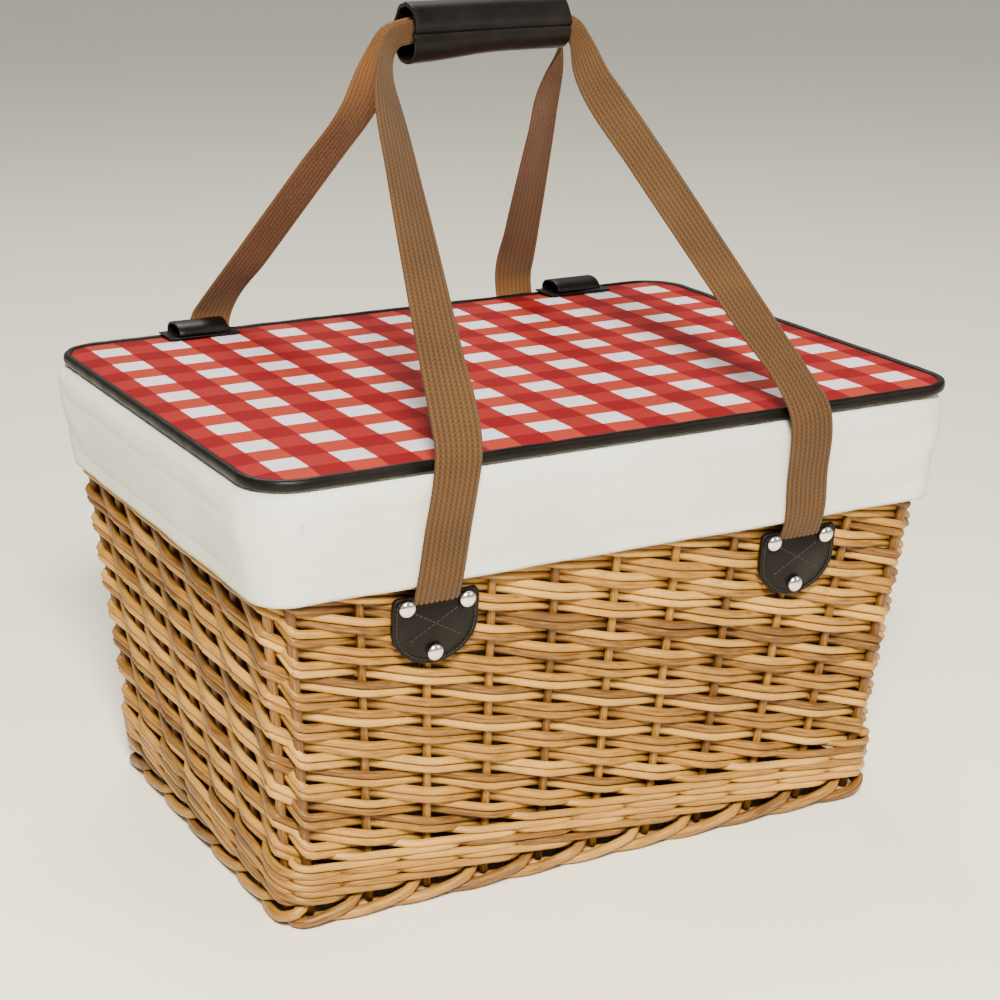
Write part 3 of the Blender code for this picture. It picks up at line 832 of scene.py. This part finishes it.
def buildBag():
    top = bag["top"]
    reach = [wicker["baseX"] - bag["inset"], wicker["baseY"] - bag["inset"]]
    middle = (bag["bottom"] + top) / 2
    clearSelection()
    bpy.ops.mesh.primitive_cube_add(size=1, location=(0, 0, middle),
                                    scale=(2 * reach[0], 2 * reach[1], top - bag["bottom"]))
    piece = bpy.context.object
    bpy.ops.object.transform_apply(location=True, rotation=True, scale=True)
    mesh = bmesh.new()
    mesh.from_mesh(piece.data)
    mouth = [face for face in mesh.faces if face.normal.z > 0.9]
    bmesh.ops.delete(mesh, geom=mouth, context="FACES_ONLY")
    upright = [edge for edge in mesh.edges if abs(edge.verts[0].co.z - edge.verts[1].co.z) > 0.1]
    bmesh.ops.bevel(mesh, geom=upright, offset=bag["corner"], segments=6, profile=0.5, affect="EDGES")
    rim = [edge for edge in mesh.edges if max(v.co.z for v in edge.verts) < bag["bottom"] + 0.001
           and any(face.normal.z < -0.9 for face in edge.link_faces)]
    bmesh.ops.bevel(mesh, geom=rim, offset=bag["bottomCorner"], segments=3, profile=0.5, affect="EDGES")
    cuts = []
    for i in range(1, bag["rows"]):
        height = bag["bottom"] + 0.009 + (top - bag["bottom"] - 0.012) * i / bag["rows"]
        cuts.append(((0, 0, height), (0, 0, 1)))
    for facing, length in (((1, 0, 0), reach[0]), ((0, 1, 0), reach[1])):
        for i in range(1, bag["columns"]):
            way = (2 * i / bag["columns"] - 1) * (length - bag["columnEdge"])
            cuts.append(((way * facing[0], way * facing[1], 0), facing))
    for place, facing in cuts:
        everything = mesh.verts[:] + mesh.edges[:] + mesh.faces[:]
        bmesh.ops.bisect_plane(mesh, geom=everything, plane_co=place, plane_no=facing)
    bmesh.ops.recalc_face_normals(mesh, faces=mesh.faces[:])
    mesh.to_mesh(piece.data)
    mesh.free()
    points = readPoints(piece)
    x = points[:, 0] * (reach[0] + wicker["flareX"] * points[:, 2]) / reach[0]
    y = points[:, 1] * (reach[1] + wicker["flareY"] * points[:, 2]) / reach[1]
    puff = bag["puff"] * ripple(points, 14, 6.6) + bag["puffFine"] * ripple(points * (1, 1, 0.3), 50, 2.2)
    inwards = np.abs(puff) * smoothstep(bag["bottom"] - 0.001, bag["bottom"] + 0.02, points[:, 2])
    x = x * (1 - inwards / reach[0])
    y = y * (1 - inwards / reach[1])
    sag = bag["sag"] * smoothstep(0.05, 0.02, points[:, 2])
    z = points[:, 2] + np.abs(ripple(points, 20, 9.1)) * sag
    writePoints(piece, x, y, z)
    pickOnly(piece)
    startEditing()
    bpy.ops.uv.cube_project(cube_size=1.0)
    bpy.ops.object.mode_set(mode="OBJECT")
    giveThickness(piece, bag["thickness"])
    applyAll(piece)
    finishPiece(piece, "linerBag", linerCotton, "basket", ["liner_bag"])
    # the bag's outward and downward faces get the painted shade colour in place of the off-white cotton
    piece.data.materials.append(bagOutsidePaintedShade)
    for face in piece.data.polygons:
        away = Vector((face.center.x / reach[0], face.center.y / reach[1], -0.2))
        if face.normal.dot(away) > 0.02:
            face.material_index = 1


buildCuff()
buildBag()
say("liner sewn")


bindingLow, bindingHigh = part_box("lid_binding")
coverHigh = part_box("lid_cover")[1]
lid = {
    "reachX": bindingHigh[0], "reachY": bindingHigh[1], "corner": 0.028, "beadWidth": 0.0050,
    "bottom": bindingLow[2], "top": bindingHigh[2], "puff": 0.0009, "shift": 0.0030, "inset": 0.0030,
    "coverGrid": (96, 72), "coverThick": 0.0009, "liningGrid": (48, 36), "liningThick": 0.0005,
    "bindingGrid": (560, 16), "squareness": 0.75, "pucker": 0.00022,
}


def roundedSheet(u, v, reachX, reachY, radius):
    # the unit square laid on a rounded rectangle
    x, y = (2 * u - 1) * reachX, (2 * v - 1) * reachY
    a = np.clip((np.abs(x) - (reachX - radius)) / radius, 0, 1)
    b = np.clip((np.abs(y) - (reachY - radius)) / radius, 0, 1)
    inCorner = (a > 0) & (b > 0)
    cornerX = reachX - radius + radius * a * np.sqrt(1 - b * b / 2)
    cornerY = reachY - radius + radius * b * np.sqrt(1 - a * a / 2)
    x = np.where(inCorner, np.sign(x) * cornerX, x)
    y = np.where(inCorner, np.sign(y) * cornerY, y)
    return x + lid["shift"], y


def layOnLid(name, shape, part, finish):
    piece = gridPiece(*lid[part + "Grid"], shape)
    flat = (2 * (lid["reachX"] - lid["inset"]), 2 * (lid["reachY"] - lid["inset"]))
    scaleUvs(piece, *flat)
    giveThickness(piece, lid[part + "Thick"])
    applyAll(piece)
    finishPiece(piece, name, finish, "lid", ["lid_" + part])


def buildLid():
    reachX, reachY = lid["reachX"] - lid["inset"], lid["reachY"] - lid["inset"]
    corner = lid["corner"] - lid["inset"]

    def topShape(u, v):
        x, y = roundedSheet(u, v, reachX, reachY, corner)
        edge = np.minimum(reachX - np.abs(x - lid["shift"]), reachY - np.abs(y))
        points = np.stack([x, y, 0 * x], 1)
        z = coverHigh[2] - 0.0012 + lid["puff"] * smoothstep(0.0, 0.02, edge)
        return x, y, z + 0.0004 * ripple(points, 13, 4.2) * smoothstep(0.0, 0.03, edge)

    def bottomShape(u, v):
        x, y = roundedSheet(1 - u, v, reachX, reachY, corner)
        points = np.stack([x, y, 0 * x], 1)
        return x, y, lid["bottom"] + 0.0006 + 0.0002 * ripple(points, 17, 7.7)

    layOnLid("lidCover", topShape, "cover", checkedCotton)
    layOnLid("lidLining", bottomShape, "lining", linerCotton)
    dressNode("lid_board", boardFinish)


def buildBinding():
    height = lid["top"] - lid["bottom"] - 0.0003
    middle = (lid["top"] + lid["bottom"]) / 2 + 0.00015
    width = lid["beadWidth"]

    def bead(u, v):
        angle = 2 * math.pi * v
        across = np.sign(np.cos(angle)) * np.abs(np.cos(angle)) ** lid["squareness"] * width / 2
        rise = np.sign(np.sin(angle)) * np.abs(np.sin(angle)) ** lid["squareness"] * height / 2
        reachX = lid["reachX"] - width / 2 + across
        reachY = lid["reachY"] - width / 2 + across
        x, y, normalX, normalY = loopPoint(u, reachX, reachY, lid["corner"] - width / 2 + across)
        points = np.stack([x, y, middle + rise], 1)
        pucker = lid["pucker"] * ripple(points, 90, 2.5)
        return x + lid["shift"] + pucker * normalX, y + pucker * normalY, middle + rise + pucker

    piece = gridPiece(*lid["bindingGrid"], bead, closeAlong=True, closeAcross=True)
    finishPiece(piece, "lidBinding", darkLeather, "lid", ["lid_binding"])


hinge = {
    "thick": 0.0013, "clearance": 0.0005, "roundness": 0.9, "steps": 18, "margin": 0.0007,
    # distance in from the loop's or the tab's back, and height
    "overEdge": ((0.0008, 0.2620), (0.0006, 0.2575)), "onCuff": (0.0006, 0.2500), "tabEnd": 0.0012,
    "bendY": 0.1664, "bendLow": 0.2540, "bendHigh": 0.2610, "strapGrid": (60, 8),
}


def buildHinges():
    for end in ("left", "right"):
        low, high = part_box("hinge_patch_" + end)
        clearSelection()
        size = [b - a for a, b in zip(low, high)]
        bpy.ops.mesh.primitive_cube_add(size=1, location=boxMiddle(low, high), scale=size)
        piece = bpy.context.object
        bpy.ops.object.transform_apply(location=True, rotation=True, scale=True)
        softenEdges(piece, 0.0005, 3)
        applyAll(piece)
        finishPiece(piece, "hingePatch_" + end, darkLeather, "lid", ["hinge_patch_" + end],
                    smooth=False)
        loopLow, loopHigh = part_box("hinge_loop_" + end)
        tabLow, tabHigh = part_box("hinge_tab_" + end)
        foot = high[2] + hinge["clearance"]
        halfWide = (loopHigh[1] - loopLow[1]) / 2 - hinge["margin"]
        rise = loopHigh[2] - foot - hinge["margin"]
        centreY = (loopLow[1] + loopHigh[1]) / 2
        arch = []
        for step in range(hinge["steps"] + 1):
            angle = math.pi * (1 - step / hinge["steps"])
            height = foot + rise * math.sin(angle) ** hinge["roundness"]
            arch.append((centreY + halfWide * math.cos(angle), height))
        arch += [(loopHigh[1] - inwards, height) for inwards, height in hinge["overEdge"]]
        arch.append((tabHigh[1] - hinge["onCuff"][0], hinge["onCuff"][1]))
        arch.append((tabHigh[1] - hinge["tabEnd"], tabLow[2]))
        arch = np.array(arch)
        steps = lengthsAlong(arch)
        steps /= steps[-1]

        def strapShape(u, v):
            x = loopLow[0] + (loopHigh[0] - loopLow[0]) * v
            return x, np.interp(u, steps, arch[:, 0]), np.interp(u, steps, arch[:, 1])

        piece = gridPiece(*hinge["strapGrid"], strapShape)
        giveThickness(piece, hinge["thick"], offset=0)
        softenEdges(piece, 0.0004, 2)
        applyAll(piece)
        mergeAndTurnOut(piece)
        finishPiece(piece, "hingeStrap_" + end, darkLeather, None,
                    ["hinge_loop_" + end, "hinge_tab_" + end])
        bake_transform(piece)


buildLid()
buildBinding()
buildHinges()
say("lid made")


jointPlaces = {joint["name"]: joint["pos_m"] for joint in frame["record"]["behaviour"]["joints"]}
swingY = abs(jointPlaces["front_handle_swing"][1])
swingZ = jointPlaces["front_handle_swing"][2]
gripLow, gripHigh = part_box("grip_front")
patchLow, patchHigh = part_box("strap_patch_front_right")
webbing = {
    "width": 0.027, "thick": 0.0019, "patchX": (patchLow[0] + patchHigh[0]) / 2,
    "bend": 0.011, "gripWebY": 0.0045, "gripWidth": 0.0130, "turn": 0.034, "rows": 340, "aroundSteps": 72,
    "tailHeight": 0.183, "tailOut": 0.0012, "turnPull": 0.018, "gripPull": 0.014, "gather": (0.006, 0.055),
}
strapPaths = {
    "frontLeft": {"kink": (0.109, 0.176, 0.271), "target": (-0.016, 0.001, -0.010), "twist": 0.44},
    "frontRight": {"kink": (0.107, 0.176, 0.264), "target": (-0.002, -0.003, -0.008), "twist": 0.10},
    "rearLeft": {"kink": (0.109, 0.176, 0.269), "target": (-0.006, -0.003, -0.021), "twist": -0.06},
    "rearRight": {"kink": (0.109, 0.176, 0.271), "target": (-0.006, -0.003, -0.004), "twist": 0.50},
}


def bezier(start, startPull, endPull, end, steps):
    points = []
    for step in range(1, steps + 1):
        t = step / steps
        s = 1 - t
        points.append(s**3 * start + 3 * s * s * t * startPull + 3 * s * t * t * endPull + t**3 * end)
    return points


def strapSections(gripX, path):
    # centre, width direction and width along the left front strap, from under its patch to the grip
    wallY = wicker["baseY"] + wicker["flareY"] * webbing["tailHeight"]
    tail = Vector((-webbing["patchX"], -wallY - webbing["tailOut"], webbing["tailHeight"]))
    foot = Vector((-webbing["patchX"], -swingY, swingZ + 0.002))
    kink = Vector((-path["kink"][0], -path["kink"][1], path["kink"][2]))
    grip = Vector((gripX, -webbing["gripWebY"], (gripLow[2] + gripHigh[2]) / 2))
    rising = (kink - foot).normalized()
    target = grip + Vector(path["target"])
    leaning = (target - kink).normalized()
    reach = (target - kink).length
    before = kink - webbing["bend"] * rising
    after = kink + webbing["bend"] * leaning
    turnStart = kink + (reach - webbing["turn"]) * leaning
    centres = [tail, tail.lerp(foot, 0.55), foot, foot.lerp(before, 0.5), before]
    centres += bezier(before, before.lerp(kink, 0.55), after.lerp(kink, 0.55), after, 4)
    shares = [0.0] * len(centres)
    for part in (0.25, 0.5, 0.75, 1.0):
        centres.append(after.lerp(turnStart, part))
        shares.append(path["twist"] * part)
    twistFrom = len(centres) - 1
    pull = turnStart + webbing["turnPull"] * leaning
    centres += bezier(turnStart, pull, grip + Vector((-webbing["gripPull"], 0, 0)), grip, 9)
    twistCount = len(centres) - 1 - twistFrom
    for step in range(1, twistCount + 1):
        part = step / twistCount
        shares.append(path["twist"] + (1 - path["twist"]) * smoothstep(0, 1, part))
    sections = []
    for i, centre in enumerate(centres):
        ahead = centres[min(i + 1, len(centres) - 1)]
        behind = centres[max(i - 1, 0)]
        along = (ahead - behind).normalized()
        flat = Vector((1, 0, 0))
        flat = (flat - flat.dot(along) * along).normalized()
        upright = Vector((0, 0, -1))
        upright = (upright - upright.dot(along) * along).normalized()
        across = flat.lerp(upright, shares[i]).normalized()
        away = (centre - grip).length
        spread = smoothstep(*webbing["gather"], away)
        width = webbing["gripWidth"] + (webbing["width"] - webbing["gripWidth"]) * spread
        sections.append((centre, across, width))
    return sections


def mirroredSection(section, alongX, alongY):
    centre, across, width = section
    place = Vector((centre.x * alongX, centre.y * alongY, centre.z))
    turned = Vector((across.x * alongX, across.y * alongY, across.z))
    return place, turned, width


def smoothRows(values, places, wanted):
    # a smooth curve through the rows of values, read at the wanted places
    slopes = np.gradient(values, places, axis=0)
    index = np.clip(np.searchsorted(places, wanted, side="right") - 1, 0, len(places) - 2)
    start, end = places[index], places[index + 1]
    span = (end - start)[:, None]
    t = ((wanted - start) / (end - start))[:, None]
    return ((2 * t**3 - 3 * t**2 + 1) * values[index] + (t**3 - 2 * t**2 + t) * span * slopes[index]
            + (3 * t**2 - 2 * t**3) * values[index + 1] + (t**3 - t**2) * span * slopes[index + 1])


def buildWebbing(place, face, finish):
    left = strapSections(gripLow[0], strapPaths[place + "Left"])
    left = [mirroredSection(section, 1, face) for section in left]
    right = strapSections(-gripHigh[0], strapPaths[place + "Right"])
    right = [mirroredSection(section, -1, face) for section in reversed(right)]
    sections = left + right
    centres = np.array([s[0] for s in sections])
    acrosses = np.array([s[1] for s in sections])
    widths = np.array([[s[2]] for s in sections])
    places = lengthsAlong(centres)
    length = places[-1]
    fine = np.linspace(0, length, webbing["rows"] + 1)
    centreRows = smoothRows(centres, places, fine)
    acrossRows = smoothRows(acrosses, places, fine)
    widthRows = smoothRows(widths, places, fine)[:, 0]
    along = np.gradient(centreRows, axis=0)
    along /= np.linalg.norm(along, axis=1)[:, None]
    acrossRows -= (acrossRows * along).sum(1)[:, None] * along
    acrossRows /= np.linalg.norm(acrossRows, axis=1)[:, None]
    faceRows = np.cross(along, acrossRows)

    def ribbon(u, v):
        step = np.rint(u * webbing["rows"]).astype(int)
        side = np.where(v < 0.5, 1.0, -1.0)
        t = np.where(v < 0.5, 2 * v, 2 - 2 * v)
        spread = t * 2 - 1
        edge = np.sqrt(np.clip(1 - np.abs(spread) ** 10, 0, 1))
        rib = 0.72 + 0.28 * np.abs(np.sin(math.pi * webbingLook["ribs"] * t))
        lift = side * edge * rib * webbing["thick"] / 2
        at = centreRows[step] + acrossRows[step] * (spread * widthRows[step] / 2)[:, None]
        at = at + faceRows[step] * lift[:, None]
        return at[:, 0], at[:, 1], at[:, 2]

    piece = gridPiece(webbing["rows"], webbing["aroundSteps"], ribbon, closeAcross=True)
    scaleUvs(piece, length, 1.0)
    finishPiece(piece, place + "Webbing", finish, None, [place + "_webbing"])
    -face * (swingY - 0.002)
    swingZ - 0.006
    -face * (swingY + 0.001)
    swingZ + 0.006
    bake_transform(piece)
    return length


grip = {
    # half of the grip's outline as depth and height, from the bottom edge round to the top edge
    "lower": [(0.0003, -0.0129), (0.0040, -0.0126), (0.0086, -0.0108), (0.0119, -0.0070),
              (0.0133, -0.0025), (0.0129, 0.0012)],
    # the front half has a doubled upper flap
    "frontUpper": [(0.0130, 0.0020), (0.0146, 0.0024), (0.0143, 0.0036), (0.0116, 0.0086),
                   (0.0086, 0.0124), (0.0046, 0.0142), (0.0003, 0.0146)],
    "rearUpper": [(0.0123, 0.0030), (0.0102, 0.0075), (0.0079, 0.0112), (0.0045, 0.0132), (0.0003, 0.0137)],
    "thickness": 0.0022, "columns": 72, "rows": 60,
}


def buildGrip():
    length = gripHigh[0] - gripLow[0]
    middleZ = (gripLow[2] + gripHigh[2]) / 2
    halfZ = (gripHigh[2] - gripLow[2]) / 2
    for end, side in (("front", -1), ("rear", 1)):
        profile = np.array(grip["lower"] + grip[end + "Upper"])
        steps = lengthsAlong(profile)
        steps /= steps[-1]
        rows = smoothRows(profile, steps, np.linspace(0, 1, grip["rows"] + 1))

        def wrap(u, v):
            row = rows[np.rint(v * grip["rows"]).astype(int)]
            x = gripLow[0] + length * u
            waist = 1 - 0.05 * np.sin(math.pi * u) + 0.012 * np.sin(7 * u + 1)
            low = smoothstep(0.004, -0.012, row[:, 1])
            risingEnd = 1 - smoothstep(0.3, 1.0, 1 - u)
            bow = low * (0.0022 * risingEnd + 0.0020 * smoothstep(0, 0.6, u) - 0.0022)
            points = np.stack([x, row[:, 0], row[:, 1]], 1)
            crinkle = 1 + 0.012 * ripple(points, 60, 3.3)
            inset = 0.0022 * np.abs(np.sin(2.2 * row[:, 1] / halfZ)) * smoothstep(0.12, 0.0, u)
            height = middleZ + row[:, 1] * (0.97 + 0.03 * waist) + bow
            return x + inset, side * row[:, 0] * waist * crinkle, height

        piece = gridPiece(grip["columns"], grip["rows"], wrap)
        giveThickness(piece, grip["thickness"], offset=-side)
        applyAll(piece)
        mergeAndTurnOut(piece)
        softenEdges(piece, 0.0006, 2, sharperThan=50)
        applyAll(piece)
        finishPiece(piece, "grip" + end.title(), darkLeather, end + "_handle", ["grip_" + end])


frontLength = buildWebbing("front", 1, frontWebbingFinish)
rearLength = buildWebbing("rear", -1, rearWebbingFinish)
say("webbing lengths {:.4f} and {:.4f} m".format(frontLength, rearLength))
buildGrip()
say("handles made")


patch = {
    "half": 0.025, "height": 0.041, "thick": 0.0024, "top": 0.191, "shoulder": 0.018,
    "rivets": {"outer": (-0.0175, -0.006), "inner": (0.0175, -0.006), "bottom": (0.0, -0.034)},
    "stitch": 0.0030, "inset": 0.0022, "outlinePoints": 72,
    "crossing": (((-0.0125, -0.010), (0.0150, -0.0265)), ((0.0125, -0.010), (-0.0150, -0.0265))),
    # width and depth of each inset that presses a line round the edge
    "pressed": ((0.0012, 0.0), (0.0003, -0.00025), (0.0006, 0.0), (0.0003, 0.00025)),
    "rivetRadius": 0.0048, "rivetHeight": 0.56, "rivetLift": 0.0005, "lean": 0.05,
    "corner": 0.0025, "dip": 0.0011, "backGap": 0.0004, "edge": 0.0007,
    "threadRadii": (0.0002, 0.0003, 0.00032, 0.0003, 0.0002), "threadArch": 0.00030, "threadGap": 0.12,
}


def wallFrame(side):
    sign = 1 if side == "back" else -1
    slope = math.atan(wicker["flareY"])
    along = Vector((-sign, 0, 0))
    up = Vector((0, sign * math.sin(slope), math.cos(slope)))
    matrix = Matrix((along, up, along.cross(up))).transposed().to_4x4()
    matrix.translation = Vector((0, sign * wicker["baseY"], 0))
    return matrix, 1 / math.cos(slope)


def patchEdge(inset, count):
    # points round the patch, going clockwise from its top right corner
    half = patch["half"] - inset
    shoulder = patch["shoulder"]
    depth = patch["height"] - shoulder - inset
    corner = patch["corner"]
    points = []
    for step in range(9):
        x = half - corner - (2 * half - 2 * corner) * step / 8
        points.append((x, -inset - patch["dip"] * math.cos(math.pi * x / (2 * half))))
    points.append((-half, -inset - corner))
    for step in range(25):
        angle = math.pi * (1 + step / 24)
        points.append((half * math.cos(angle), -shoulder + depth * math.sin(angle)))
    points.append((half, -inset - corner))
    points = np.array(points + points[:1])
    steps = lengthsAlong(points)
    wanted = np.linspace(0, steps[-1], count, endpoint=False)
    return np.stack([np.interp(wanted, steps, points[:, i]) for i in range(2)], 1), steps[-1]


def stitchRow(points, closed):
    # short threads laid end to end along a row of points, just proud of the leather
    rods = []
    count = len(points)
    for i in range(count if closed else count - 1):
        start, end = np.array(points[i]), np.array(points[(i + 1) % count])
        travel = np.linspace(patch["threadGap"], 1 - patch["threadGap"], len(patch["threadRadii"]))
        line = start + (end - start) * travel[:, None]
        arch = patch["threadArch"] * (1 + np.sin(np.linspace(0, math.pi, len(travel))))
        line = np.c_[line, patch["thick"] + arch]
        rods.append((line, np.array(patch["threadRadii"]), dice.random()))
    return rods


def buildRivet(name, spot):
    clearSelection()
    bpy.ops.mesh.primitive_uv_sphere_add(segments=28, ring_count=18, radius=patch["rivetRadius"])
    head = bpy.context.object
    startEditing()
    bpy.ops.mesh.bisect(plane_co=(0, 0, 0), plane_no=(0, 0, 1), clear_inner=True, use_fill=True)
    bpy.ops.mesh.select_all(action="SELECT")
    bpy.ops.transform.resize(value=(1, 1, patch["rivetHeight"]))
    turnOutAndStop()
    lean = Matrix.Rotation(dice.uniform(-patch["lean"], patch["lean"]), 4, "X")
    lean = lean @ Matrix.Rotation(dice.uniform(-patch["lean"], patch["lean"]), 4, "Y")
    head.data.transform(spot @ lean)
    finishPiece(head, "rivetHead_" + name, nickel, "basket", ["rivet_" + name])


def buildPatch(side, end):
    matrix, stretch = wallFrame(side)
    name = side + "_" + end
    x = webbing["patchX"] * (-1 if end == "left" else 1)
    localX = x if side == "front" else -x
    place = matrix @ Matrix.Translation((localX, patch["top"] * stretch, 0))
    outline, length = patchEdge(0.0, patch["outlinePoints"])
    clearSelection()
    bpy.ops.mesh.primitive_circle_add(vertices=patch["outlinePoints"], radius=1, fill_type="NGON")
    piece = bpy.context.object
    for vertex, (px, py) in zip(piece.data.vertices, outline):
        vertex.co = (px, py, patch["backGap"])
    startEditing()
    bpy.ops.mesh.extrude_region_move(TRANSFORM_OT_translate={"value": (0, 0, patch["thick"])})
    bpy.ops.mesh.select_all(action="SELECT")
    turnOutAndStop()
    mesh = bmesh.new()
    mesh.from_mesh(piece.data)
    top = [face for face in mesh.faces if face.normal.z > 0.9]
    edges = [edge for face in top for edge in face.edges]
    bmesh.ops.bevel(mesh, geom=edges, offset=patch["edge"], segments=3, profile=0.6, affect="EDGES")
    top = [face for face in mesh.faces if face.normal.z > 0.9 and len(face.verts) > 8]
    for inset, drop in patch["pressed"]:
        bmesh.ops.inset_region(mesh, faces=top, thickness=inset, depth=drop, use_even_offset=True)
    mesh.to_mesh(piece.data)
    mesh.free()
    piece.data.transform(place)
    finishPiece(piece, "strapPatch_" + name, darkLeather, "basket", ["strap_patch_" + name])
    edgeRow = patchEdge(patch["inset"], int(length / patch["stitch"]))[0]
    rods = stitchRow(edgeRow, True)
    for start, finish in patch["crossing"]:
        share = np.linspace(0, 1, 12)[:, None]
        rods += stitchRow(np.array(start) + (np.array(finish) - start) * share, False)
    threads = sweepRods(rods, sides=6)
    threads.data.transform(place)
    finishPiece(threads, "patchStitching_" + name, stitchThread, "basket")
    for label, (dx, dy) in patch["rivets"].items():
        spot = place @ Matrix.Translation((dx, dy, patch["thick"] + patch["rivetLift"]))
        buildRivet(name + "_" + label, spot)


for side in ("front", "back"):
    for end in ("left", "right"):
        buildPatch(side, end)
say("patches riveted")
